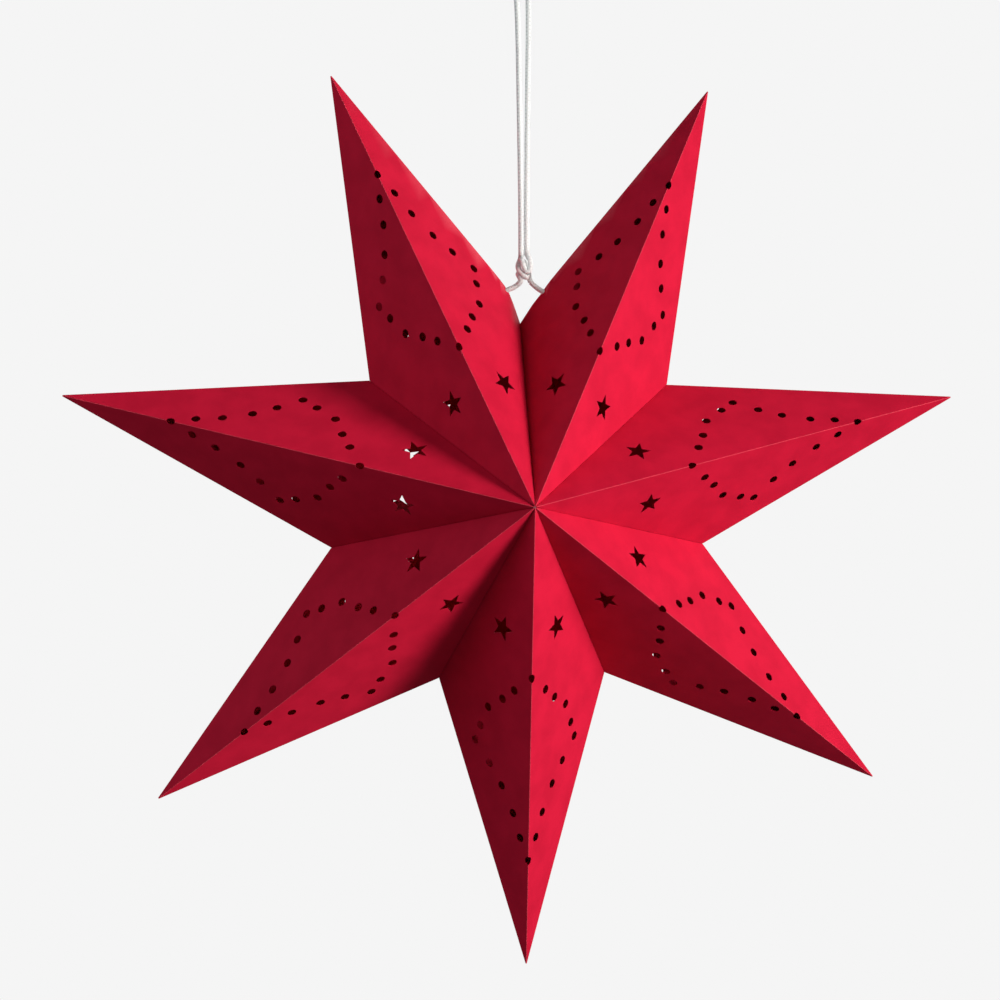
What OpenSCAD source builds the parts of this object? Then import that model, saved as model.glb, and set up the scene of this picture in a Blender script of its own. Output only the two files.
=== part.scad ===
// Seven-point folding paper star lantern on a white hanging cord.
// Millimetres. +Z is up, the front faces -Y, the origin is where the hanging loop bears on its hook.

/* [Star] */
// Centre of the star to the sharp end of a tip
tip_r = 300; // [240:1:360]
// Centre of the star to a notch between two points
notch_r = 124; // [110:1:150]
// Mid plane to the front or back apex
half_depth = 105; // [80:1:130]
// Hanging loop down to the centre of the star
hang_drop = 380; // [370:1:400]

/* [Card] */
// Thickness of the card
card = 0.4; // [0.3:0.05:0.8]
// Width of the glued fins along the valleys
fin_w = 12; // [6:1:18]
// Width of the glued flap inside the back ridge
flap_w = 12; // [6:1:18]
// Length trimmed off each tip
tip_cut = 1; // [0.5:0.1:1.5]
// Length trimmed off the front apex, where the seven points meet
apex_cut = 1.2; // [0.8:0.1:2]
// Centre of the star to the straight sides of the lamp opening in the back
lamp_r = 56; // [40:1:58]

/* [Punched dots] */
// Diameter of a dot
dot_d = 5.8; // [3:0.1:8]
// Apex to the outermost dot, along the ridge
far_along = 243; // [225:1:255]
// Apex to the corner dot, along the ridge
corner_along = 173; // [165:1:180]
// Ridge to the corner dot
corner_out = 49; // [40:1:54]
// Apex to the innermost dot, along the ridge
near_along = 115.5; // [110:0.5:125]
// How far the outer run of dots bows towards the ridge
outer_bow = 6; // [0:0.5:9]
// How far the inner run of dots bows away from the ridge
inner_bow = 7.5; // [0:0.5:9]
// Spaces between the dots of one run
dot_spaces = 5; // [3:1:6]

/* [Star holes] */
// Centre of the star hole to its points
star_hole_r = 9; // [5:0.5:10]
// Apex to the star hole, along the ridge
star_hole_along = 88; // [86:1:95]
// Ridge to the star hole
star_hole_out = 26; // [22:1:28]
// Inner radius of the star hole as a share of its outer radius
star_hole_waist = 0.42; // [0.3:0.01:0.6]

/* [Back pattern] */
// How much nearer the back apex the pattern lies on the back
back_in = 11; // [9:0.5:12]
// How much nearer the ridge the pattern lies on the back
back_aside = 7; // [5:0.5:8]

/* [Seam] */
// Centre of the star to the place where the two end points meet
seam_r = 116; // [106:1:120]
// Seam to the cord hole, sideways
cord_hole_x = 10.6; // [9:0.1:13]
// Seam up to the cord hole
cord_hole_rise = 20.7; // [16:0.1:26]
// Lean of the right end point towards the seam, in degrees
lean_right = 0.7; // [0:0.1:3]
// Lean of the left end point towards the seam, in degrees
lean_left = 1.9; // [0:0.1:3]

/* [Cord] */
// Diameter of the cord
cord_d = 3.5; // [2.5:0.1:4]
// Clearance round the cord in its hole
cord_fit = 0.35; // [0.2:0.05:0.6]
// Clearance between a stopper knot and the card
knot_fit = 0.3; // [0.2:0.05:0.8]
// Diameter of a stopper knot
stopper_d = 8.6; // [8:0.1:11]
// Width of the tie knot
tie_w = 11.2; // [10.6:0.1:13]
// Height of the tie knot
tie_h = 17.6; // [14:0.1:22]
// Cord hole up to the bottom of the tie knot
tie_rise = 6; // [5:0.5:9]
// Radius of the bend at the top of the hanging loop
loop_r = 7.5; // [7:0.1:7.6]

/* [Hidden] */
$fn = 64;
point_count = 7;
step_angle = 360 / point_count;
star_centre = [0, 0, -hang_drop];
apex = [0, -half_depth, 0];
wraps_tie = 4;
wraps_stopper = 2;
cord_sides = 8;
fold_sides = 24;
fold_ease = 0.1;
glue_gap = 0.02;
fin_start = 8;
hollow_reach = 2;
slack = 1;

// Right half of the hanging cord above the tie knot, from the knot upwards: [x, z] under the loop
strand_route = [
    [1.9, -190], [2.2, -160], [2.6, -130], [3.0, -100], [3.4, -75],
    [3.9, -52], [5.0, -37], [6.3, -22], [7.2, -11]
];

// Places in the mid plane, clockwise from the top
function polar(r, a) = [r * sin(a), 0, r * cos(a)];
function angle_of(p) = atan2(p.x, p.z);
function mirrored_x(p) = [-p.x, p.y, p.z];
function unit(v) = v / norm(v);

// Outward direction of the front facet between the apex and two places on the crest line
function outward(b, c) = let (n = unit(cross(b - apex, c - apex))) n.y > 0 ? -n : n;

// Crest lines, clockwise from one valley over the tip to the next: the tip is always the last but one
seam = polar(seam_r, 0);
cord_hole = seam + [cord_hole_x, 0, cord_hole_rise];
upright_crest = [polar(notch_r, -step_angle / 2), [0, 0, tip_r], polar(notch_r, step_angle / 2)];
function seam_crest(lean) = [seam, cord_hole, polar(tip_r, step_angle / 2 - lean), polar(notch_r, step_angle)];

// Cord through the hole: the leg runs straight from the tie knot to its stopper knot
tie_bottom = [0, 0, cord_hole.z + tie_rise];
tie_centre = tie_bottom + [0, 0, tie_h / 2];
leg_dir = unit(cord_hole - tie_bottom);
outer_facet = outward(cord_hole, seam_crest(lean_right)[2]);
seam_facet = outward(seam, cord_hole);
stopper_l = wraps_stopper * cord_d;
stopper_seat = max(seat_depth(abs(leg_dir * outer_facet)), seat_depth(abs(leg_dir * seam_facet)));
stopper_centre = cord_hole + leg_dir * stopper_seat;
leg_start = tie_bottom + leg_dir * tie_w / 2;
leg_end = stopper_centre - leg_dir * stopper_l / 2;

// Depth below the cord hole at which the stopper knot clears a facet of this slope to the leg
function seat_depth(slope) =
    (slope * (stopper_l - cord_d) / 2 + sqrt(1 - slope * slope) * (stopper_d - cord_d) / 2
        + cord_d / 2 + card + knot_fit) / slope;

// Dots at even spaces along an arc from a to b that bows to the left by bow
function arc_points(a, b, bow, n) =
    let (mid = (a + b) / 2, half = norm(b - a) / 2, side = unit([a.y - b.y, b.x - a.x]))
    bow == 0 ? [for (k = [0:n]) a + (b - a) * k / n] :
    let (
        s = abs(bow),
        r = (half * half + s * s) / (2 * s),
        span = asin(half / r),
        turn = sign(bow),
        hub = mid - side * turn * (r - s)
    )
    [for (k = [0:n])
        let (q = -span + 2 * span * k / n)
        hub + side * turn * r * cos(q) + unit(b - a) * r * sin(q)];

// Two runs of dots on each facet, from the fold to the corner and back; the ends on the fold are punched apart
corner_dot = [corner_along, corner_out];
outer_run = arc_points([far_along, 0], corner_dot, outer_bow, dot_spaces);
inner_run = arc_points(corner_dot, [near_along, 0], -inner_bow, dot_spaces);

// Dots and star hole of one facet, flat, with the apex at the origin and the ridge along +x.
// On the back the pattern lies nearer the apex and the ridge, and its outermost dot is left out
module punched_pattern(back) {
    translate(back ? [-back_in, -back_aside] : [0, 0]) {
        for (k = [back ? 2 : 1:dot_spaces]) translate(outer_run[k]) circle(d = dot_d);
        for (k = [1:dot_spaces - 1]) translate(inner_run[k]) circle(d = dot_d);
        translate([star_hole_along, star_hole_out])
            polygon([for (k = [0:9])
                let (r = k % 2 == 0 ? star_hole_r : star_hole_r * star_hole_waist, a = -90 + 36 * k)
                [r * cos(a), r * sin(a)]]);
    }
}

// Sets the x, y and z directions of a drawing, with its origin at the apex
module at_apex(x, y, z) {
    multmatrix([
        [x.x, y.x, z.x, apex.x],
        [x.y, y.y, z.y, apex.y],
        [x.z, y.z, z.z, apex.z],
        [0, 0, 0, 1]
    ]) children();
}

// Lays a drawing on the front facet apex-b-c: x runs from the apex to b, and y towards c
module on_facet(b, c) {
    n = unit(cross(b - apex, c - apex));
    at_apex(unit(b - apex), cross(n, unit(b - apex)), n) children();
}

// Solid that a point fills when it is closed, between its two valley planes
module closed_point(ring) {
    n = len(ring);
    polyhedron(
        points = concat(ring, [apex, -apex]),
        faces = concat(
            [for (k = [0:n - 2]) [n, k, k + 1]],
            [for (k = [0:n - 2]) [n + 1, k + 1, k]],
            [[n, n - 1, n + 1], [n, n + 1, 0]]
        )
    );
}

// Hollow behind the four facets that meet at the tip, one card deeper and open past the valley planes
module tip_hollow(before, tip, after) {
    left = outward(before, tip);
    right = outward(tip, after);
    shift = -card * [right.z - left.z, 0, left.x - right.x] / (left.x * right.z - left.z * right.x);
    translate(shift) polyhedron(
        points = [tip, for (p = [apex, after, -apex, before]) tip + hollow_reach * (p - tip)],
        faces = [[1, 0, 2], [1, 4, 0], [3, 2, 0], [3, 0, 4], [1, 2, 3], [1, 3, 4]]
    );
}

// Hollow behind the two narrow facets beside the seam
module seam_hollow() {
    run = unit(cord_hole - seam) * tip_r;
    flat = [seam_facet.x, 0, seam_facet.z];
    ends = [seam - run, cord_hole + run];
    translate(-card * flat / (flat * flat)) polyhedron(
        points = [for (p = ends) for (q = [[0, 0, 0], apex - seam, -apex - seam]) p + 2 * hollow_reach * q],
        faces = [[0, 1, 2], [3, 5, 4], [0, 3, 4, 1], [0, 2, 5, 3], [1, 4, 5, 2]]
    );
}

// Flap that closes the sheet inside a ridge
module ridge_flap(tip, after) {
    reach = norm(tip - apex);
    rise = cross(tip - apex, after - apex).y > 0 ? card - fold_ease : fold_ease - 2 * card;
    on_facet(tip, after) translate([0, 0, rise]) linear_extrude(card)
        polygon([
            [lamp_r, 2 * fold_ease], [reach - flap_w, 2 * fold_ease],
            [reach - 4 * flap_w, flap_w], [lamp_r, flap_w]
        ]);
}

// Fin turned inwards along the valley at p: a chevron just inside the valley plane, on the side given by side
module fin(p, side) {
    r = norm(p);
    setback = fin_w * norm([r, half_depth]) / half_depth;
    rotate([0, angle_of(p) - 90, 0])
        translate([0, 0, side > 0 ? -card - glue_gap : glue_gap])
            linear_extrude(card) difference() {
                polygon([[r, 0], [0, half_depth], [0, -half_depth]]);
                polygon([[r - setback, 0], [-setback, half_depth], [-setback, -half_depth]]);
                translate([-setback, -half_depth]) square([setback + fin_start, 2 * half_depth]);
            }
}

// Dots and star hole punched through one facet
module facet_punch(tip, side, back) {
    on_facet(tip, side) linear_extrude(2 * (2 * card + slack), center = true) punched_pattern(back);
}

// Dots punched through the fold of a ridge, along the line that halves the fold
module fold_punch(before, tip, after) {
    right = outward(tip, after);
    z = unit(outward(before, tip) + right);
    x = unit(tip - apex);
    at_apex(x, cross(z, x), z)
        for (along = [far_along, near_along])
            translate([along, 0, -dot_d]) linear_extrude(dot_d + slack)
                polygon([for (k = [0.5:fold_sides])
                    let (a = 360 * k / fold_sides)
                    dot_d / 2 * [cos(a), z * right * sin(a)]]);
}

// One point of the star: a single punched and folded sheet
module star_point(ring) {
    n = len(ring);
    before = ring[n - 3];
    tip = ring[n - 2];
    after = ring[n - 1];
    difference() {
        union() {
            difference() {
                closed_point(ring);
                if (n == 3) tip_hollow(before, tip, after);
                else intersection() {
                    tip_hollow(before, tip, after);
                    seam_hollow();
                }
            }
            mirror([0, 1, 0]) ridge_flap(tip, after);
            fin(ring[0], 1);
            fin(after, -1);
        }
        for (flip = [0, 1]) mirror([0, flip, 0]) {
            facet_punch(tip, before, flip == 1);
            facet_punch(tip, after, flip == 1);
        }
        fold_punch(before, tip, after);
        rotate([0, (angle_of(ring[0]) + angle_of(after)) / 2, 0])
            translate([-tip_r / 2, slack, -slack]) cube([tip_r, half_depth, lamp_r + slack]);
        translate([-fin_start, -half_depth - slack, -fin_start])
            cube([2 * fin_start, slack + apex_cut, 2 * fin_start]);
        rotate([0, angle_of(tip), 0]) translate([-tip_r / 2, -tip_r / 2, tip_r - tip_cut]) cube(tip_r);
        if (n == 4) translate(cord_hole) point_along(leg_dir)
            cylinder(d = cord_d + 2 * cord_fit, h = 2 * stopper_d, center = true);
    }
}

// Turns +Z to a direction in the mid plane
module point_along(dir) {
    rotate([0, atan2(dir.x, dir.z), 0]) children();
}

// Tube along a route in the mid plane
module cord_tube(route) {
    n = len(route);
    tangents = [for (k = [0:n - 1]) unit(route[min(k + 1, n - 1)] - route[max(k - 1, 0)])];
    rings = [for (k = [0:n - 1]) for (s = [0:cord_sides - 1])
        let (a = 360 * s / cord_sides, side = cross([0, 1, 0], tangents[k]))
        route[k] + cord_d / 2 * (cos(a) * side + sin(a) * [0, 1, 0])];
    polyhedron(
        points = rings,
        faces = concat(
            [[for (s = [0:cord_sides - 1]) s]],
            [for (k = [0:n - 2]) for (s = [0:cord_sides - 1])
                let (t = (s + 1) % cord_sides, a = k * cord_sides)
                [a + s, a + cord_sides + s, a + cord_sides + t, a + t]],
            [[for (s = [cord_sides - 1:-1:0]) (n - 1) * cord_sides + s]]
        )
    );
}

// Turns of cord side by side round a core, along z
module wound_turns(d, l, turns) {
    pitch = (l - cord_d) / (turns - 1);
    cylinder(d = d - cord_d, h = l, center = true);
    for (k = [0:turns - 1])
        translate([0, 0, -l / 2 + cord_d / 2 + pitch * k])
            rotate_extrude() translate([d / 2 - cord_d / 2, 0]) circle(d = cord_d);
}

module upright_point(i) {
    translate(star_centre) rotate([0, step_angle * (i - 0.5), 0]) star_point(upright_crest);
}

module point_1() { color("firebrick") translate(star_centre) star_point(seam_crest(lean_right)); }
module point_2() { color("crimson") upright_point(2); }
module point_3() { color("firebrick") upright_point(3); }
module point_4() { color("crimson") upright_point(4); }
module point_5() { color("firebrick") upright_point(5); }
module point_6() { color("crimson") upright_point(6); }
module point_7() { color("firebrick") translate(star_centre) mirror([1, 0, 0]) star_point(seam_crest(lean_left)); }

// Two strands and the hanging loop, from the tie knot up and back
module hanging_cord() {
    foot = [strand_route[0].x, 0, tie_bottom.z + tie_h - hang_drop];
    right = concat([foot, foot + [0, 0, cord_d]], [for (p = strand_route) [p.x, 0, p.y]]);
    top_z = cord_d / 2 - loop_r;
    bend = [for (a = [0:15:180]) [loop_r * cos(a), 0, top_z + loop_r * sin(a)]];
    left = [for (k = [len(right) - 1:-1:0]) mirrored_x(right[k])];
    color("whitesmoke") cord_tube(concat(right, bend, left));
}

// Knot that gathers the two legs above the seam
module tie_knot() {
    color("whitesmoke") translate(star_centre) {
        translate(tie_centre) wound_turns(tie_w, tie_h, wraps_tie);
        for (dir = [leg_dir, mirrored_x(leg_dir)])
            translate(tie_bottom) point_along(dir) cylinder(d = cord_d, h = tie_w / 2);
    }
}

module cord_leg_right() {
    color("whitesmoke") translate(star_centre) cord_tube([leg_start, leg_end]);
}

module cord_leg_left() {
    color("whitesmoke") translate(star_centre) cord_tube([mirrored_x(leg_start), mirrored_x(leg_end)]);
}

// Knot inside an end point that keeps the cord from pulling out
module stopper_knot_right() {
    color("whitesmoke") translate(star_centre)
        translate(stopper_centre) point_along(leg_dir) wound_turns(stopper_d, stopper_l, wraps_stopper);
}

module stopper_knot_left() {
    color("whitesmoke") translate(star_centre)
        translate(mirrored_x(stopper_centre)) point_along(mirrored_x(leg_dir))
            wound_turns(stopper_d, stopper_l, wraps_stopper);
}

point_1();
point_2();
point_3();
point_4();
point_5();
point_6();
point_7();
hanging_cord();
tie_knot();
cord_leg_left();
cord_leg_right();
stopper_knot_left();
stopper_knot_right();
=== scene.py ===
# Seven-point folded card star lantern on a white hanging cord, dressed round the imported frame
import math
import random

import bmesh
import bpy
from mathutils import Matrix, Vector
from mathutils.geometry import intersect_point_line


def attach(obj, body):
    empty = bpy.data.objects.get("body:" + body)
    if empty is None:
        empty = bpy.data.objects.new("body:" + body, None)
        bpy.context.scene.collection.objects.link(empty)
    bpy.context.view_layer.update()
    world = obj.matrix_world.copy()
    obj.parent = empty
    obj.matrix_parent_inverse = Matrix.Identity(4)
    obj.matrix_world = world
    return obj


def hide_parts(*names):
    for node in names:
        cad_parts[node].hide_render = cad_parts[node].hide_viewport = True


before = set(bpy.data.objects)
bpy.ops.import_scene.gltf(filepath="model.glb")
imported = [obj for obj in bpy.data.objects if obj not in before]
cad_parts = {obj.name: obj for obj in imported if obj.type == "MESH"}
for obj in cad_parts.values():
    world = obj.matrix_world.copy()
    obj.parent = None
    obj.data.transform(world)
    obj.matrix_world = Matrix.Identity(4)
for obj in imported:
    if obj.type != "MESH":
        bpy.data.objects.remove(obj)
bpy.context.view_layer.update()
scene = bpy.context.scene
mm = 0.001
print("frame loaded:", ", ".join(sorted(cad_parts)))

# Main sizes of the folded star in millimetres, as in the part's source
star = {
    "points": 7,
    "tipRadius": 301.6,  # where the folds of a tip would meet; the card ends a little short of it
    "notchRadius": 124.0,
    "halfDepth": 105.0,
    "drop": 380.0,  # loop down to the centre of the star
    "tipCut": 2.0,
    "apexCut": 0.5,
    "lampOpening": 56.0,  # centre to the straight sides of the opening in the back
    "seamRadius": 116.0,
    "cordHole": (10.6, 136.7),
    "leanRight": 0.7,  # degrees that the two upper points lean towards the seam
    "leanLeft": 1.9,
}
# How the hand-folded star has settled away from a regular one,
# in millimetres to the right and up, seen from the front
settled = {
    "centre": (-3.0, -0.2),
    "tips": [(-2.5, -4.3), (-5.5, 0.5), (-0.3, 3.5), (2.9, -2.8), (-1.5, -3.0), (-3.1, 3.5), (-1.0, 1.4)],
    "notches": [(0.4, 0.3), (0.1, -1.2), (-0.3, -0.8), (1.4, -0.5), (0.1, -2.8), (-2.7, -1.3), (-1.2, 2.1)],
    "leftHole": (3.4, 1.4),
    "rightHole": (3.9, 0.5),
    "strands": 3.0,  # the cord hangs this far to the right
}
stepAngle = 360 / star["points"]
mirrored = star["points"]  # the last point is drawn as number 1 and mirrored
apexes = [Vector((0, -star["halfDepth"], 0)), Vector((0, star["halfDepth"], 0))]
toPlace = Matrix.Translation((0, 0, -star["drop"] * mm)) @ Matrix.Scale(mm, 4)


def midPlane(radius, degrees):
    turn = math.radians(degrees)
    return Vector((radius * math.sin(turn), 0, radius * math.cos(turn)))


def linearColour(hexCode):
    channels = [int(hexCode[i : i + 2], 16) / 255 for i in (1, 3, 5)]
    return [c / 12.92 if c <= 0.04045 else ((c + 0.055) / 1.055) ** 2.4 for c in channels] + [1.0]


def addNode(tree, kind, values=None, links=None, **settings):
    node = tree.nodes.new(kind)
    for key, value in settings.items():
        setattr(node, key, value)
    for socket, value in (values or {}).items():
        node.inputs[socket].default_value = value
    for socket, source in (links or {}).items():
        tree.links.new(source, node.inputs[socket])
    return node


def newMaterial(name):
    material = bpy.data.materials.new(name)
    material.use_nodes = True
    material.node_tree.nodes.clear()
    return material, material.node_tree


def newPiece(name, mesh, *materials):
    piece = bpy.data.objects.new(name, mesh)
    scene.collection.objects.link(piece)
    for material in materials:
        mesh.materials.append(material)
    return piece


# Camera at the photograph's viewing angle: degrees, then millimetres from the centre of the star
cameraFacts = {
    "turn": 6.4,
    "tilt": 1.74,
    "roll": -0.21,
    "distance": 2100.0,
    "aside": -13.16,
    "lift": 1.16,
    "lens": 116.006,
    "film": 36.0,
    "farthest": 200.0,  # metres
}


def placeCamera():
    facts = cameraFacts
    turns = [(facts["roll"], "Y"), (facts["tilt"], "X"), (facts["turn"], "Z")]
    starTurn = Matrix.Identity(3)
    for degrees, axis in turns:
        starTurn = starTurn @ Matrix.Rotation(math.radians(degrees), 3, axis)
    right, ahead, up = starTurn  # the rows are the camera's own directions
    place = facts["aside"] * right - facts["distance"] * ahead + facts["lift"] * up
    camera = bpy.data.objects.new("camera", bpy.data.cameras.new("camera"))
    scene.collection.objects.link(camera)
    camera.matrix_world = (
        Matrix.Translation((place - Vector((0, 0, star["drop"]))) * mm)
        @ Matrix((right, up, -ahead)).transposed().to_4x4()
    )
    camera.data.lens = facts["lens"]
    camera.data.sensor_width = facts["film"]
    camera.data.clip_end = facts["farthest"]
    scene.camera = camera


placeCamera()
print("camera placed")


# Hanging cord: braided white polyester, 3.5 mm, one length from knot to knot over the loop
cordFacts = {
    "diameter": 3.5,
    "tieBottom": 142.7,  # above the centre of the star
    "tieHeight": 17.6,
    "loopRadius": 7.5,
    "loopTurn": 15,  # degrees between two corners of the loop
    # the right strand from the knot up: out from the middle, and height under the hook
    "route": [
        (1.9, -190), (2.2, -160), (2.6, -130), (3.0, -100), (3.4, -75),
        (3.9, -52), (5.0, -37), (6.3, -22), (7.2, -11),
    ],
    "fade": (6.0, 55.0),  # the strands' shift starts this far under the hook and is whole this much lower
    "braid": 2.4,  # a real braid is about 0.6 mm; drawn coarser so that it shows
    "legBend": 0.55,  # share of a leg's way at which it sags most
    "legSag": 0.4,
    "legInside": 10.0,  # how far a leg goes on inside its point
    "stopperDepth": 14.0,  # cord hole to the middle of a stopper knot
    "stopperSwing": 0.8,  # size of its loops
    "stopperRise": 1.7,  # how far its loops cross over each other
    "stopperSteps": 31,
    "strandStep": 1.2,
    "knotStep": 0.7,  # a knot is drawn in finer steps than a strand
    "roundness": 3,
}


def braidedCord():
    # Filament polyester: smooth shiny yarn, so the braid shows as soft slanting dashes with a silky gleam;
    # the grooves of the braid get painted shade
    material, tree = newMaterial("braidedPolyester")
    place = addNode(tree, "ShaderNodeTexCoord")
    along = addNode(
        tree, "ShaderNodeMapping", {"Scale": (1 / cordFacts["braid"], 1.0, 1.0)},
        {"Vector": place.outputs["UV"]},
    )
    split = addNode(tree, "ShaderNodeSeparateXYZ", links={0: along.outputs[0]})
    waves = []
    for turn in (1, -1):
        around = addNode(
            tree, "ShaderNodeMath", {1: 2.0 * turn}, {0: split.outputs["Y"]}, operation="MULTIPLY"
        )
        both = addNode(
            tree, "ShaderNodeMath", links={0: split.outputs["X"], 1: around.outputs[0]}, operation="ADD"
        )
        wave = addNode(tree, "ShaderNodeMath", {1: math.tau}, {0: both.outputs[0]}, operation="MULTIPLY")
        waves.append(addNode(tree, "ShaderNodeMath", links={0: wave.outputs[0]}, operation="SINE").outputs[0])
    plait = addNode(tree, "ShaderNodeMath", links={0: waves[0], 1: waves[1]}, operation="MAXIMUM")
    level = addNode(tree, "ShaderNodeMapRange", {"From Min": -1.0}, {0: plait.outputs[0]})
    fuzz = addNode(
        tree, "ShaderNodeTexNoise", {"Scale": 900.0, "Detail": 3.0}, {"Vector": place.outputs["Object"]}
    )
    # painted shade: the low grooves of the braid get the darker colour, its crests the lighter one
    colour = addNode(
        tree, "ShaderNodeMix", {6: linearColour("#d6dcdc"), 7: linearColour("#e8eeee")},
        {0: level.outputs[0]}, data_type="RGBA",
    )
    height = addNode(tree, "ShaderNodeMath", links={0: fuzz.outputs[0], 1: level.outputs[0]}, operation="ADD")
    bump = addNode(
        tree, "ShaderNodeBump", {"Strength": 0.25, "Distance": 0.0002}, {"Height": height.outputs[0]}
    )
    shader = addNode(
        tree, "ShaderNodeBsdfPrincipled",
        {"Roughness": 0.5, "Sheen Weight": 0.1, "Sheen Roughness": 0.4, "Subsurface Weight": 0.9,
         "Subsurface Radius": (0.004, 0.004, 0.004), "Subsurface Scale": 1.0},
        {"Base Color": colour.outputs[2], "Normal": bump.outputs[0]},
    )
    addNode(tree, "ShaderNodeOutputMaterial", links={"Surface": shader.outputs[0]})
    return material


def smoothRoute(corners, step):
    # A smooth curve through all the corners, in nearly even steps
    ends = [2 * corners[0] - corners[1], *corners, 2 * corners[-1] - corners[-2]]
    dense = []
    for p0, p1, p2, p3 in zip(ends, ends[1:], ends[2:], ends[3:]):
        count = max(1, round((p2 - p1).length / step))
        for k in range(count):
            t = k / count
            second = 2 * p0 - 5 * p1 + 4 * p2 - p3
            third = 3 * p1 - p0 - 3 * p2 + p3
            dense.append(0.5 * (2 * p1 + (p2 - p0) * t + second * t**2 + third * t**3))
    return dense + [corners[-1]]


def cordTube(name, corners, material, step=cordFacts["strandStep"]):
    path = [toPlace @ p for p in smoothRoute(corners, step)]
    curve = bpy.data.curves.new(name, "CURVE")
    curve.dimensions = "3D"
    curve.bevel_depth = cordFacts["diameter"] / 2 * mm
    curve.bevel_resolution = cordFacts["roundness"]
    curve.use_fill_caps = True
    spline = curve.splines.new("POLY")
    spline.points.add(len(path) - 1)
    for point, place in zip(spline.points, path):
        point.co = (*place, 1)
    maker = newPiece(name + "Line", curve)
    mesh = bpy.data.meshes.new_from_object(maker.evaluated_get(bpy.context.evaluated_depsgraph_get()))
    bpy.data.objects.remove(maker)
    mesh.name = name
    # The pattern follows the cord in real millimetres along it and once round it
    length = sum((b - a).length for a, b in zip(path, path[1:])) / mm
    if mesh.uv_layers:
        for loop in mesh.uv_layers[0].data:
            loop.uv = (loop.uv[0] * length, loop.uv[1])
    mesh.shade_smooth()
    return newPiece(name, mesh, material), path, length


whiteCord = braidedCord()


def across(points):
    # mirrored from right to left
    return [Vector((-p.x, p.y, p.z)) for p in points]


def aside(points, shift):
    # moved as one of the settled places is, to the right and up
    return [p + Vector((shift[0], 0, shift[1])) for p in points]


def hangingCord():
    facts = cordFacts
    foot = facts["tieBottom"] + facts["tieHeight"]
    out = facts["route"][0][0]
    right = [Vector((out, 0, foot)), Vector((out, 0, foot + facts["diameter"]))]
    right += [Vector((x, 0, z + star["drop"])) for x, z in facts["route"]]
    top = facts["diameter"] / 2 - facts["loopRadius"] + star["drop"]
    bend = [
        Vector((facts["loopRadius"] * math.cos(a), 0, top + facts["loopRadius"] * math.sin(a)))
        for a in (math.radians(degrees) for degrees in range(0, 181, facts["loopTurn"]))
    ]
    loop = right + bend + across(right)[::-1]
    # the shift fades out above the picture, so that the loop still bears on its hook
    start, reach = facts["fade"]
    shares = [min(1, max(0, (star["drop"] - start - p.z) / reach)) for p in loop]
    hung = [p + Vector((settled["strands"] * share, 0, 0)) for p, share in zip(loop, shares)]
    return cordTube("hangingCord", hung, whiteCord)


cordPiece, cordPath, cordLength = hangingCord()
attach(cordPiece, "root")
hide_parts("hanging_cord")
print("hanging cord:", round(cordLength), "mm")

# Where each leg passes its hole and how it leaves the tie knot
cordHole = Vector((star["cordHole"][0], 0, star["cordHole"][1]))
tieBottom = Vector((0, 0, cordFacts["tieBottom"]))
legTurn = (cordHole - tieBottom).normalized()

# The tie knot: the right strand makes a bight in front, turns behind and leaves as the right leg,
# and the left strand winds round it lower down and leaves as the left leg
knotTurns = [
    (1.9, 0.0, 18.6), (2.9, -1.0, 16.2), (3.9, -2.6, 12.0), (3.2, -3.4, 8.2), (1.2, -3.8, 6.9),
    (-0.4, -3.7, 9.6), (-1.3, -2.9, 13.2), (-1.9, -0.4, 15.4), (-0.8, 2.2, 14.6), (1.8, 2.8, 11.6),
    (3.4, 1.6, 7.6), (3.2, 0.2, 4.0), (4.3, -0.3, 0.2),
]
knotCore = [
    (-1.9, 0.0, 18.6), (-2.2, 0.9, 15.4), (-3.7, 0.0, 11.6), (-3.7, -1.8, 8.6), (-1.8, -2.8, 5.6),
    (0.9, -2.3, 3.4), (2.7, -0.2, 4.2), (1.4, 2.1, 6.2), (-1.6, 2.4, 6.8), (-3.7, 0.8, 5.6),
    (-3.0, -1.3, 3.2), (-2.2, -1.0, 1.0), (-4.3, -0.3, -1.6),
]


def joinPieces(name, pieces, material):
    bm = bmesh.new()
    for piece in pieces:
        bm.from_mesh(piece.data)
        bpy.data.objects.remove(piece)
    mesh = bpy.data.meshes.new(name)
    bm.to_mesh(mesh)
    bm.free()
    mesh.shade_smooth()
    return newPiece(name, mesh, material)


def tieKnot():
    place = tieBottom + Vector((settled["strands"], 0, 0))
    tubes = [
        cordTube(name, [place + Vector(p) for p in points], whiteCord, step=cordFacts["knotStep"])[0]
        for name, points in (("knotTurns", knotTurns), ("knotCore", knotCore))
    ]
    return joinPieces("tieKnot", tubes, whiteCord)


def cordLeg(name, flip):
    hole, inside = cordHole, cordHole + legTurn * cordFacts["legInside"]
    if flip:
        hole, inside = across([hole, inside])
    hole, inside = aside([hole, inside], settled["leftHole" if flip else "rightHole"])
    start = tieBottom + Vector((settled["strands"], 0, 0)) + Vector((knotCore if flip else knotTurns)[-1])
    sag = start.lerp(hole, cordFacts["legBend"]) - Vector((0, 0, cordFacts["legSag"]))
    return cordTube(name, [start, sag, hole, inside], whiteCord, step=cordFacts["knotStep"])[0]


def stopperKnot(name, flip):
    facts = cordFacts
    centre = cordHole + legTurn * facts["stopperDepth"]
    side = Vector((0, 1, 0)).cross(legTurn)
    loops = []
    for k in range(facts["stopperSteps"]):
        t = math.tau * k / facts["stopperSteps"]
        loops.append(
            centre
            + facts["stopperSwing"] * (math.sin(t) + 2 * math.sin(2 * t)) * side
            + facts["stopperSwing"] * (math.cos(t) - 2 * math.cos(2 * t)) * Vector((0, 1, 0))
            - facts["stopperRise"] * math.sin(3 * t) * legTurn
        )
    loops = aside(across(loops) if flip else loops, settled["leftHole" if flip else "rightHole"])
    return cordTube(name, loops, whiteCord, step=facts["knotStep"])[0]


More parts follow.
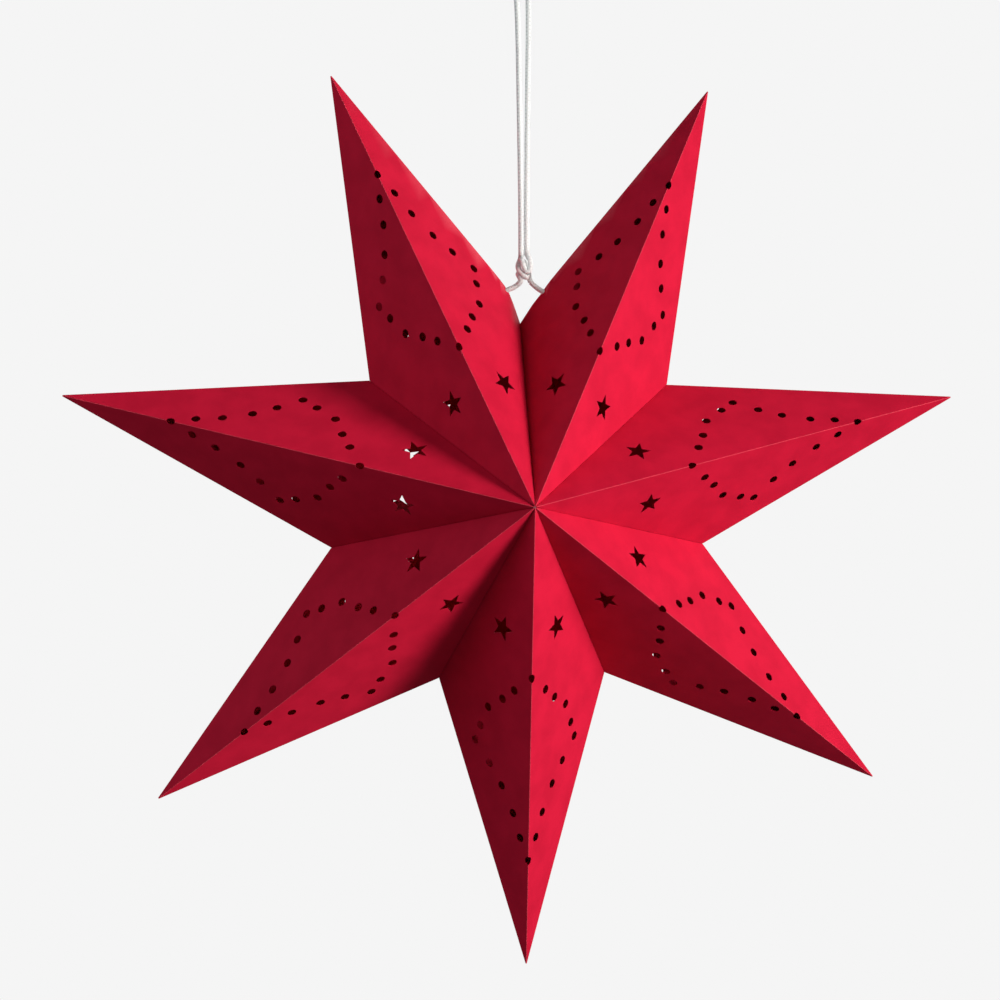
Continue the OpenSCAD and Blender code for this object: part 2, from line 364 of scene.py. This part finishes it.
knotPiece = tieKnot()
cordParts = {"tie_knot": knotPiece}
for side, flip in (("left", True), ("right", False)):
    cordParts["cord_leg_" + side] = cordLeg("cordLeg" + side.title(), flip)
    cordParts["stopper_knot_" + side] = stopperKnot("stopperKnot" + side.title(), flip)
for node, piece in cordParts.items():
    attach(piece, "root")
    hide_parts(node)
print("knots and legs made")


# Dyed card, about 300 g/m2, machine-made and die-cut:
# matt, with a fine felt grain and a faint cloudy formation
cardLook = {
    "red": "#ce1538",
    "cloud": "#c21133",
    "wornAndHighlit": "#ee6d7b",  # paler on a creased fold: partly wear where the dye breaks, partly painted highlight
    "foldWearAndHighlight": 0.75,  # most that the pale fold colour shows on a fold
    "edgeWearAndHighlight": 0.85,  # and where a fold runs out at a cut edge
    "ridgeWearAndHighlight": 1.0,  # a ridge gets more of the pale fold colour, wear and painted highlight, than the crest round the star
    "crestWearAndHighlight": 0.8,
    "grain": 0.45,  # felt grain in mm
    "formation": 9.0,  # clouds of fibre in mm
}


def dyedCard(name, edge=False):
    material, tree = newMaterial(name)
    place = addNode(tree, "ShaderNodeTexCoord").outputs["Object"]
    grain = addNode(
        tree, "ShaderNodeTexNoise",
        {"Scale": 1000 / cardLook["grain"] / 2, "Detail": 4.0, "Roughness": 0.6}, {"Vector": place},
    )
    clouds = addNode(
        tree, "ShaderNodeTexNoise",
        {"Scale": 1000 / cardLook["formation"] / 2, "Detail": 3.0, "Roughness": 0.55}, {"Vector": place},
    )
    cloudy = addNode(
        tree, "ShaderNodeMapRange", {"From Min": 0.35, "From Max": 0.65}, {0: clouds.outputs[0]}, clamp=True
    )
    dye = addNode(
        tree, "ShaderNodeMix", {6: linearColour(cardLook["red"]), 7: linearColour(cardLook["cloud"])},
        {0: cloudy.outputs[0]}, data_type="RGBA",
    )
    # mask of the pale fold colour: crease wear and painted highlight, broken up by the grain
    wearAndHighlight = addNode(tree, "ShaderNodeAttribute", attribute_name="foldWearAndHighlight")
    grainBreakup = addNode(
        tree, "ShaderNodeMapRange", {"From Min": 0.3, "From Max": 0.62, "To Min": 0.4, "To Max": 1.0},
        {0: grain.outputs[0]}, clamp=True,
    )
    amount = addNode(
        tree, "ShaderNodeMath", links={0: wearAndHighlight.outputs["Fac"], 1: grainBreakup.outputs[0]}, operation="MULTIPLY"
    )
    share = addNode(
        tree, "ShaderNodeMath", {1: cardLook["edgeWearAndHighlight" if edge else "foldWearAndHighlight"]}, {0: amount.outputs[0]},
        operation="MULTIPLY",
    )
    # the pale fold colour mixed in: part crease wear, part painted highlight
    colour = addNode(
        tree, "ShaderNodeMix", {7: linearColour(cardLook["wornAndHighlit"])}, {0: share.outputs[0], 6: dye.outputs[2]},
        data_type="RGBA",
    )
    rough = addNode(
        tree, "ShaderNodeMapRange", {"From Min": 0.3, "From Max": 0.7, "To Min": 0.66, "To Max": 0.82},
        {0: grain.outputs[0]}, clamp=True,
    )
    bump = addNode(
        tree, "ShaderNodeBump", {"Strength": 0.35, "Distance": 0.00006}, {"Height": grain.outputs[0]}
    )
    shader = addNode(
        tree, "ShaderNodeBsdfPrincipled",
        {"Specular IOR Level": 0.1},
        {"Base Color": colour.outputs[2], "Roughness": rough.outputs[0], "Normal": bump.outputs[0]},
    )
    addNode(tree, "ShaderNodeOutputMaterial", links={"Surface": shader.outputs[0]})
    return material


redCard = dyedCard("dyedCard")
cutEdge = dyedCard("dyedCardCutEdge", edge=True)

# How each point's sheet is folded and glued
card = {
    "thickness": 0.4,
    "finWidth": 12.0,
    "finStart": 1.0,
    "finLean": 0.04,  # keeps the faces of two glued fins apart
    "flapWidth": 12.0,
    "flapStart": 1.0,  # past the lamp opening
    "flapSlant": 4.0,
    "flapFold": 0.6,  # from the ridge
    "glueFilm": 0.03,
    "foldRound": 0.45,
    "foldSteps": 4,
    "kinkBefore": 10.0,  # the sheet turns softly past the cord hole, from here
    "kinkAfter": 14.0,  # to here along the crest
    "kinkSteps": 6,
    "valleyRound": 0.35,
    "valleySteps": 2,
    "gridAlong": 11.0,
    "gridReach": (5.0, 296.0),
    "gridAcross": 8.0,
    "gridSide": 64.0,
    "bow": 0.9,  # most that a facet bows between its folds
    "bowFrom": 40.0,  # a facet with a shorter crest edge stays flat
    "seed": 40,
    "sharpFrom": 38.0,  # degrees between faces past which the shading shows an edge
    "onPlane": 0.00001,  # a vertex this near a cutting plane counts as on it
    "smallest": 0.0005,  # shorter edges are dissolved
}
# Numbers that mark the faces of a sheet; its facets are numbered from 0
marks = {"fin": 50, "flap": 60, "fold": 99}
holes = {
    "dot": 5.8,
    "farAlong": 243.0,
    "cornerAlong": 173.0,
    "cornerOut": 49.0,
    "nearAlong": 115.5,
    "outerBow": 6.0,
    "innerBow": 7.5,
    "spaces": 5,
    "starRadius": 9.0,
    "starAlong": 88.0,
    "starOut": 26.0,
    "starWaist": 0.42,
    "starCorners": 10,  # outer and inner ones
    "sides": 24,
    "slack": 1.0,  # how far a cutter stands clear of the card
    "cordFit": 0.1,
    "cordReach": 17.0,
    "backShift": (-8.5, -7.0),  # the back's pattern lies nearer the apex and the ridge
    "backStarShift": (-8.5, -6.0),
    # how far the die's front dots stray from even arcs, along and out, from the tip to the corner and back
    "strays": [
        (1.8, 1.0), (1.6, -0.7), (-0.5, -0.3), (0.2, -0.7), (-0.6, -0.4),
        (2.4, 1.0), (0.5, 2.5), (2.8, -0.1), (4.0, 1.6),
    ],
    # the same for the back's dots; few of them line up with a front dot as the camera sees them
    "backStrays": [(0, 0), (0, 0), (0, 0), (0, 3.0), (2.0, 1.0), (1.0, -2.0), (1.0, -3.0), (0, 0)],
}


def arcPlaces(a, b, bow, count):
    # Evenly spaced places on an arc from a to b that rises by the bow in its middle
    middle, half = (a + b) / 2, (b - a).length / 2
    side = Vector((a.y - b.y, b.x - a.x)).normalized()
    rise = abs(bow)
    radius = (half * half + rise * rise) / (2 * rise)
    span = math.asin(half / radius)
    turn = math.copysign(1, bow)
    hub = middle - side * turn * (radius - rise)
    along = (b - a).normalized()
    return [
        hub + side * turn * radius * math.cos(q) + along * radius * math.sin(q)
        for q in (-span + 2 * span * k / count for k in range(count + 1))
    ]


cornerDot = Vector((holes["cornerAlong"], holes["cornerOut"]))
outerRun = arcPlaces(Vector((holes["farAlong"], 0)), cornerDot, holes["outerBow"], holes["spaces"])
innerRun = arcPlaces(cornerDot, Vector((holes["nearAlong"], 0)), -holes["innerBow"], holes["spaces"])
dotPlaces = {
    -1: [place + Vector(stray) for place, stray in zip(outerRun[1:] + innerRun[1:-1], holes["strays"])],
    1: [
        place + Vector(holes["backShift"]) + Vector(stray)
        for place, stray in zip(outerRun[2:] + innerRun[1:-1], holes["backStrays"])
    ],
}


def facetFrame(apex, tip, side):
    # x runs from the apex to the tip, y towards the side fold, z out of the card
    x = (tip - apex).normalized()
    y = (side - apex) - (side - apex).dot(x) * x
    y.normalize()
    z = x.cross(y)
    if z.y * apex.y < 0:
        z = -z
    return x, y, z


def frameMatrix(x, y, z, place):
    return Matrix.Translation(place) @ Matrix((x, y, z)).transposed().to_4x4()


def addCutter(bm, radius, depth, lay=Matrix.Identity(4), sides=holes["sides"]):
    return bmesh.ops.create_cone(
        bm, cap_ends=True, segments=sides, radius1=radius, radius2=radius, depth=depth, matrix=lay
    )["verts"]


def hasCordHole(ring):
    # only the two upper points have a fourth corner, where the cord goes in
    return len(ring) == 4


def punches(ring):
    # One mesh of cutters: the dots and the star of each facet, the dots on the folds and the cord hole
    bm = bmesh.new()
    tip = ring[-2]
    dotRadius = holes["dot"] / 2
    deep = 2 * (2 * card["thickness"] + holes["slack"])
    for sign, apex in zip((-1, 1), apexes):
        outs = []
        for side in (ring[-3], ring[-1]):
            x, y, z = facetFrame(apex, tip, side)
            outs.append(z)
            lay = frameMatrix(x, y, z, apex)
            for place in dotPlaces[sign]:
                addCutter(bm, dotRadius, deep, lay @ Matrix.Translation((place.x, place.y, 0)))
            # the star starts as a ten-sided disc whose every other corner is drawn in
            disc = addCutter(bm, holes["starRadius"], deep, sides=holes["starCorners"])
            for vert in disc:
                turn = (math.degrees(math.atan2(vert.co.y, vert.co.x)) + 90) / (360 / holes["starCorners"])
                if round(turn) % 2:
                    vert.co.x *= holes["starWaist"]
                    vert.co.y *= holes["starWaist"]
            starPlace = Vector((holes["starAlong"], holes["starOut"]))
            if sign > 0:
                starPlace += Vector(holes["backStarShift"])
            bmesh.ops.transform(bm, matrix=lay @ Matrix.Translation((*starPlace, 0)), verts=disc)
        x = (tip - apex).normalized()
        z = (outs[0] + outs[1]).normalized()
        y = z.cross(x)
        squeeze = Matrix.Diagonal((1, z.dot(outs[1]), 1, 1))
        for along in (holes["farAlong"], holes["nearAlong"]) if sign < 0 else ():
            place = apex + x * along + z * (holes["slack"] - holes["dot"]) / 2
            addCutter(bm, dotRadius, holes["dot"] + holes["slack"], frameMatrix(x, y, z, place) @ squeeze)
    if hasCordHole(ring):
        run = (ring[1] - tieBottom).to_track_quat("Z", "Y").to_matrix().to_4x4()
        radius = cordFacts["diameter"] / 2 + holes["cordFit"]
        addCutter(bm, radius, holes["cordReach"], Matrix.Translation(ring[1]) @ run)
    bmesh.ops.recalc_face_normals(bm, faces=bm.faces[:])
    mesh = bpy.data.meshes.new("punches")
    bm.to_mesh(mesh)
    bm.free()
    return newPiece("punches", mesh, cutEdge)


def bowAt(point, corners, most):
    # A bump that is nothing on the three folds of a facet and most in its middle
    a, b, c = corners
    whole = (b - a).cross(c - a)
    shares = [
        max(0, (q - point).cross(r - point).dot(whole) / whole.length_squared)
        for q, r in ((b, c), (c, a), (a, b))
    ]
    return 27 * most * shares[0] * shares[1] * shares[2] * whole.normalized()  # a third of each gives most


def withEdges(faces):
    # The faces with their edges and corners, each once and in an order that is the same in every run
    edges = dict.fromkeys(e for f in faces for e in f.edges)
    verts = dict.fromkeys(v for f in faces for v in f.verts)
    return [*verts, *edges, *faces]


def slices(bm, direction, first, last, step, among=lambda f: True):
    place = first
    while place < last:
        bmesh.ops.bisect_plane(
            bm, geom=withEdges([f for f in bm.faces if among(f)]), dist=card["onPlane"],
            plane_co=direction * place, plane_no=direction,
        )
        place += step


def trim(bm, place, direction, among):
    # Cuts along a plane and drops what lies beyond it, among the faces that the test picks
    picked = withEdges([f for f in bm.faces if among(f)])
    bmesh.ops.bisect_plane(bm, geom=picked, dist=card["onPlane"], plane_co=place, plane_no=direction)
    gone = [f for f in bm.faces if among(f) and (f.calc_center_median() - place).dot(direction) > 0]
    bmesh.ops.delete(bm, geom=gone, context="FACES")


def kinkFan(ring):
    # Past the cord hole the crest is a short curve, and the card behind it a part of a cone from each apex
    before = ring[1] + (ring[0] - ring[1]).normalized() * card["kinkBefore"]
    after = ring[1] + (ring[2] - ring[1]).normalized() * card["kinkAfter"]
    steps = [k / card["kinkSteps"] for k in range(card["kinkSteps"] + 1)]
    curve = [(1 - t) ** 2 * before + 2 * t * (1 - t) * ring[1] + t * t * after for t in steps]
    return [ring[0], *curve, *ring[2:]]


def foldedSheet(ring, middle, chance):
    bm = bmesh.new()
    facetOf = bm.faces.layers.int.new("facet")
    crest = [bm.verts.new(p) for p in ring]
    corners = {}
    bows = {}
    for apex, order in zip(apexes, (-1, 1)):
        top = bm.verts.new(apex)
        for a, b in zip(crest, crest[1:]):
            face = bm.faces.new((top, a, b)[::order])
            face[facetOf] = len(corners)
            long = (b.co - a.co).length > card["bowFrom"]
            bows[len(corners)] = card["bow"] * chance.uniform(0.25, 1.0) if long else 0
            corners[len(corners)] = [v.co.copy() for v in face.verts]
    tip = ring[-2]
    tipTurn = tip.normalized()

    # Folds: the ridges and the crest
    def rounded(edges, offset, segments):
        made = bmesh.ops.bevel(
            bm, geom=edges, offset=offset, offset_type="OFFSET", affect="EDGES", segments=segments,
            profile=0.5, material=-1, clamp_overlap=False,
        )
        for face in made["faces"]:
            face[facetOf] = marks["fold"]

    inside = [e for e in bm.edges if len(e.link_faces) == 2]
    folds = [e for e in inside if all(abs(v.co.y) < 0.001 for v in e.verts)]
    folds += [
        e for e in inside
        if any((v.co - tip).length < 0.01 for v in e.verts) and any(abs(v.co.y) > 1 for v in e.verts)
    ]
    rounded(folds, card["foldRound"], card["foldSteps"])

    # A grid fine enough to carry the bow of each facet
    side = Vector((tipTurn.z, 0, -tipTurn.x))
    slices(bm, tipTurn, *card["gridReach"], card["gridAlong"])
    slices(bm, side, -card["gridSide"], card["gridSide"], card["gridAcross"])
    for vert in bm.verts:
        facets = {f[facetOf] for f in vert.link_faces}
        if len(facets) == 1 and not vert.is_boundary and min(facets) < marks["fold"]:
            facet = facets.pop()
            vert.co += bowAt(vert.co, corners[facet], bows[facet])

    # Trims at the front apex and the tip
    trim(bm, Vector((0, star["apexCut"] - star["halfDepth"], 0)), Vector((0, -1, 0)), lambda f: True)
    trim(bm, tipTurn * (star["tipRadius"] - star["tipCut"]), tipTurn, lambda f: True)

    # Fins: each valley edge turns in along the plane where two points meet
    for place, inward in ((ring[0], 1), (ring[-1], -1)):
        outTurn = place.normalized()
        planeTurn = Vector((outTurn.z, 0, -outTurn.x)) * inward
        chain = [
            e for e in bm.edges
            if e.is_boundary and all(abs(v.co.dot(planeTurn)) < 0.01 for v in e.verts)
            and any(v.co.dot(outTurn) > 0.5 for v in e.verts)
        ]
        setback = card["finWidth"] * math.hypot(place.length, star["halfDepth"]) / star["halfDepth"]
        made = bmesh.ops.extrude_edge_only(bm, edges=chain)["geom"]
        newFaces = [g for g in made if isinstance(g, bmesh.types.BMFace)]
        for face in newFaces:
            face[facetOf] = marks["fin"]
        bmesh.ops.translate(
            bm, vec=planeTurn * card["finLean"] - outTurn * setback,
            verts=[g for g in made if isinstance(g, bmesh.types.BMVert)],
        )

        def ofThisFin(face, turn=planeTurn):
            return face[facetOf] == marks["fin"] and abs(face.calc_center_median().dot(turn)) < 0.1

        trim(bm, outTurn * card["finStart"], -outTurn, ofThisFin)
    valleys = [
        e for e in bm.edges
        if len(e.link_faces) == 2 and sum(f[facetOf] == marks["fin"] for f in e.link_faces) == 1
    ]
    rounded(valleys, card["valleyRound"], card["valleySteps"])

    # Lamp opening: straight across the back of each point
    trim(bm, middle * star["lampOpening"], -middle, lambda f: f.calc_center_median().y > 1)

    # Glued flap inside the back ridge, under the last facet
    last = max(corners)
    x, y, z = facetFrame(apexes[1], tip, ring[-1])
    reach = (tip - apexes[1]).length
    start = star["lampOpening"] * reach / star["tipRadius"] + card["flapStart"]
    width, fold, slant = card["flapWidth"], card["flapFold"], card["flapSlant"]
    flap = [(start, fold), (reach - width, fold), (reach - 4 * width, width), (start + slant, width)]
    flapVerts = [bm.verts.new(apexes[1] + x * a + y * o) for a, o in flap]
    flapFace = bm.faces.new(flapVerts)
    flapFace.normal_update()
    if flapFace.normal.dot(z) < 0:
        flapFace.normal_flip()
    flapFace[facetOf] = marks["flap"]

    def onFlap(face):
        return face[facetOf] == marks["flap"]

    slices(bm, tipTurn, *card["gridReach"], card["gridAlong"], onFlap)
    for vert in {v for f in bm.faces if onFlap(f) for v in f.verts}:
        vert.co += bowAt(vert.co, corners[last], bows[last]) - z * (card["thickness"] + card["glueFilm"])
    bmesh.ops.dissolve_degenerate(bm, dist=card["smallest"], edges=bm.edges[:])
    mesh = bpy.data.meshes.new("sheet")
    bm.to_mesh(mesh)
    bm.free()
    return mesh


def applied(piece):
    mesh = bpy.data.meshes.new_from_object(piece.evaluated_get(bpy.context.evaluated_depsgraph_get()))
    old = piece.data
    piece.modifiers.clear()
    piece.data = mesh
    bpy.data.meshes.remove(old)


def markWearAndHighlight(mesh, ring):
    # Paler on the round of each fold only, where the sheet was creased: partly crease wear, partly painted
    # highlight
    folds = [(apex, ring[-2], cardLook["ridgeWearAndHighlight"]) for apex in apexes]
    folds += [(a, b, cardLook["crestWearAndHighlight"]) for a, b in zip(ring, ring[1:])]
    wearAndHighlight = mesh.attributes.new("foldWearAndHighlight", "FLOAT", "POINT")
    for k, vert in enumerate(mesh.vertices):
        most = 0
        for a, b, weight in folds:
            near, share = intersect_point_line(vert.co, a, b)
            if -0.01 < share < 1.01:
                most = max(most, weight * max(0, 1 - (vert.co - near).length / card["foldRound"]))
        wearAndHighlight.data[k].value = most


def settle(mesh, number, ring):
    # Each facet is moved by its three corners, so it stays flat and still meets its neighbours
    def shiftOf(corner):
        if corner == "tip":
            return Vector(settled["tips"][number - 1])
        if corner == "hole":
            return Vector(settled["leftHole" if number == mirrored else "rightHole"])
        return Vector(settled["notches"][corner % star["points"]])

    kinds = [number - 1, "tip", number]
    if hasCordHole(ring):
        # the mirrored point's ring ends at the last notch, not at the first
        kinds = [0, "hole", "tip", mirrored - 1 if number == mirrored else 1]
    flip = -1 if number == mirrored else 1
    flat = [Vector((p.x * flip, p.z)) for p in ring]
    moved = [shiftOf(kind) for kind in kinds]
    centre = Vector(settled["centre"])
    for vert in mesh.vertices:
        here = Vector((vert.co.x * flip, vert.co.z))
        best = None
        for a, b, shiftA, shiftB in zip(flat, flat[1:], moved, moved[1:]):
            whole = a.cross(b)
            shareA, shareB = here.cross(b) / whole, a.cross(here) / whole
            if best is None or min(shareA, shareB) > best[0]:
                shift = centre * (1 - shareA - shareB) + shiftA * shareA + shiftB * shareB
                best = (min(shareA, shareB), shift)
        vert.co += Vector((best[1].x * flip, 0, best[1].y))


def starPoint(number):
    middle = midPlane(1, stepAngle * ((1 if number == mirrored else number) - 0.5))
    if number in (1, mirrored):
        lean = star["leanRight"] if number == 1 else star["leanLeft"]
        tip = midPlane(star["tipRadius"], stepAngle / 2 - lean)
        seam = midPlane(star["seamRadius"], 0)
        ring = [seam, cordHole, tip, midPlane(star["notchRadius"], stepAngle)]
    else:
        ring = [
            midPlane(star["notchRadius"], stepAngle * (number - 1)),
            midPlane(star["tipRadius"], stepAngle * (number - 0.5)),
            midPlane(star["notchRadius"], stepAngle * number),
        ]
    crest = kinkFan(ring) if hasCordHole(ring) else ring
    # each sheet has its own small bows, the same in every run
    chance = random.Random(card["seed"] + number)
    sheet = newPiece("starPoint" + str(number), foldedSheet(crest, middle, chance), redCard, cutEdge)
    wall = sheet.modifiers.new("card", "SOLIDIFY")
    wall.thickness = card["thickness"]
    wall.offset = -1
    wall.use_even_offset = True
    wall.material_offset_rim = 1
    applied(sheet)
    cutter = punches(ring)
    cut = sheet.modifiers.new("punched", "BOOLEAN")
    cut.operation = "DIFFERENCE"
    cut.solver = "MANIFOLD"
    cut.object = cutter
    applied(sheet)
    bpy.data.objects.remove(cutter)
    mesh = sheet.data
    markWearAndHighlight(mesh, crest)
    settle(mesh, number, ring)
    place = toPlace
    if number == mirrored:
        place = toPlace @ Matrix.Scale(-1, 4, (1, 0, 0))
    mesh.transform(place)
    if number == mirrored:
        mesh.flip_normals()
    mesh.shade_smooth()
    mesh.set_sharp_from_angle(angle=math.radians(card["sharpFrom"]))
    weighted = sheet.modifiers.new("flatFacets", "WEIGHTED_NORMAL")
    weighted.keep_sharp = True
    applied(sheet)
    return sheet


for number in range(1, star["points"] + 1):
    point = starPoint(number)
    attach(point, "root")
    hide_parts("point_" + str(number))
    print("star point", number, "faces", len(point.data.polygons))


# Pale floor far below the hung star, and a pale room around it
stageFacts = {
    "floorDrop": 3.7,
    "floorRadius": 60.0,
    "floorSides": 96,
    "pale": "#f5f5f5",
    "ambient": 0.107,
}
lightFacts = {
    # the key is a narrow beam, so the tips get less of it than the centre does
    "key": {
        "place": (1.95, -1.45, -0.10),
        "size": (0.61, 1.03),
        "power": 6.1,
        "colour": "#fffaf5",
        "spread": 45.5,
    },
    "fill": {
        "place": (-1.90, -0.60, 0.56),
        "size": (1.6, 1.6),
        "power": 14.8,
        "colour": "#f5faff",
        "spread": 180,
    },
    "back": {
        "place": (0.90, 2.20, 0.30),
        "size": (1.8, 1.8),
        "power": 40.0,
        "colour": "#ffffff",
        "spread": 180,
    },
}


def paleRoom():
    bm = bmesh.new()
    bmesh.ops.create_circle(
        bm, cap_ends=True, segments=stageFacts["floorSides"], radius=stageFacts["floorRadius"],
        matrix=Matrix.Translation((0, 0, -stageFacts["floorDrop"])),
    )
    mesh = bpy.data.meshes.new("floor")
    bm.to_mesh(mesh)
    bm.free()
    material, tree = newMaterial("paintedFloor")
    mottle = addNode(
        tree, "ShaderNodeTexNoise", {"Scale": 1.5, "Detail": 2.0},
        {"Vector": addNode(tree, "ShaderNodeTexCoord").outputs["Object"]},
    )
    shade = addNode(tree, "ShaderNodeMapRange", {"To Min": 0.88, "To Max": 0.92}, {0: mottle.outputs[0]})
    paint = addNode(
        tree, "ShaderNodeBsdfPrincipled", {"Roughness": 0.9, "Specular IOR Level": 0.1},
        {"Base Color": shade.outputs[0]},
    )
    glow = addNode(tree, "ShaderNodeEmission", {"Color": linearColour(stageFacts["pale"]), "Strength": 1.0})
    seenDirectly = addNode(tree, "ShaderNodeLightPath").outputs["Is Camera Ray"]
    both = addNode(
        tree, "ShaderNodeMixShader", links={0: seenDirectly, 1: paint.outputs[0], 2: glow.outputs[0]}
    )
    addNode(tree, "ShaderNodeOutputMaterial", links={"Surface": both.outputs[0]})
    newPiece("floor", mesh, material)

    world = bpy.data.worlds.new("paleRoom")
    world.use_nodes = True
    scene.world = world
    tree = world.node_tree
    tree.nodes.clear()
    soft = addNode(
        tree, "ShaderNodeBackground", {"Color": linearColour("#ffffff"), "Strength": stageFacts["ambient"]}
    )
    seen = addNode(tree, "ShaderNodeBackground", {"Color": linearColour(stageFacts["pale"]), "Strength": 1.0})
    seenDirectly = addNode(tree, "ShaderNodeLightPath").outputs["Is Camera Ray"]
    both = addNode(
        tree, "ShaderNodeMixShader", links={0: seenDirectly, 1: soft.outputs[0], 2: seen.outputs[0]}
    )
    addNode(tree, "ShaderNodeOutputWorld", links={"Surface": both.outputs[0]})


def softLights():
    centre = Vector((0, 0, -star["drop"] * mm))
    for name, facts in lightFacts.items():
        lamp = bpy.data.lights.new(name, "AREA")
        lamp.shape = "RECTANGLE"
        lamp.size, lamp.size_y = facts["size"]
        lamp.energy = facts["power"]
        lamp.spread = math.radians(facts["spread"])
        lamp.color = linearColour(facts["colour"])[:3]
        light = bpy.data.objects.new(name, lamp)
        scene.collection.objects.link(light)
        place = Vector(facts["place"])
        turn = (centre - place).to_track_quat("-Z", "Y").to_matrix().to_4x4()
        light.matrix_world = Matrix.Translation(place) @ turn


paleRoom()
softLights()
scene.view_settings.view_transform = "Standard"
print("room and lights made")
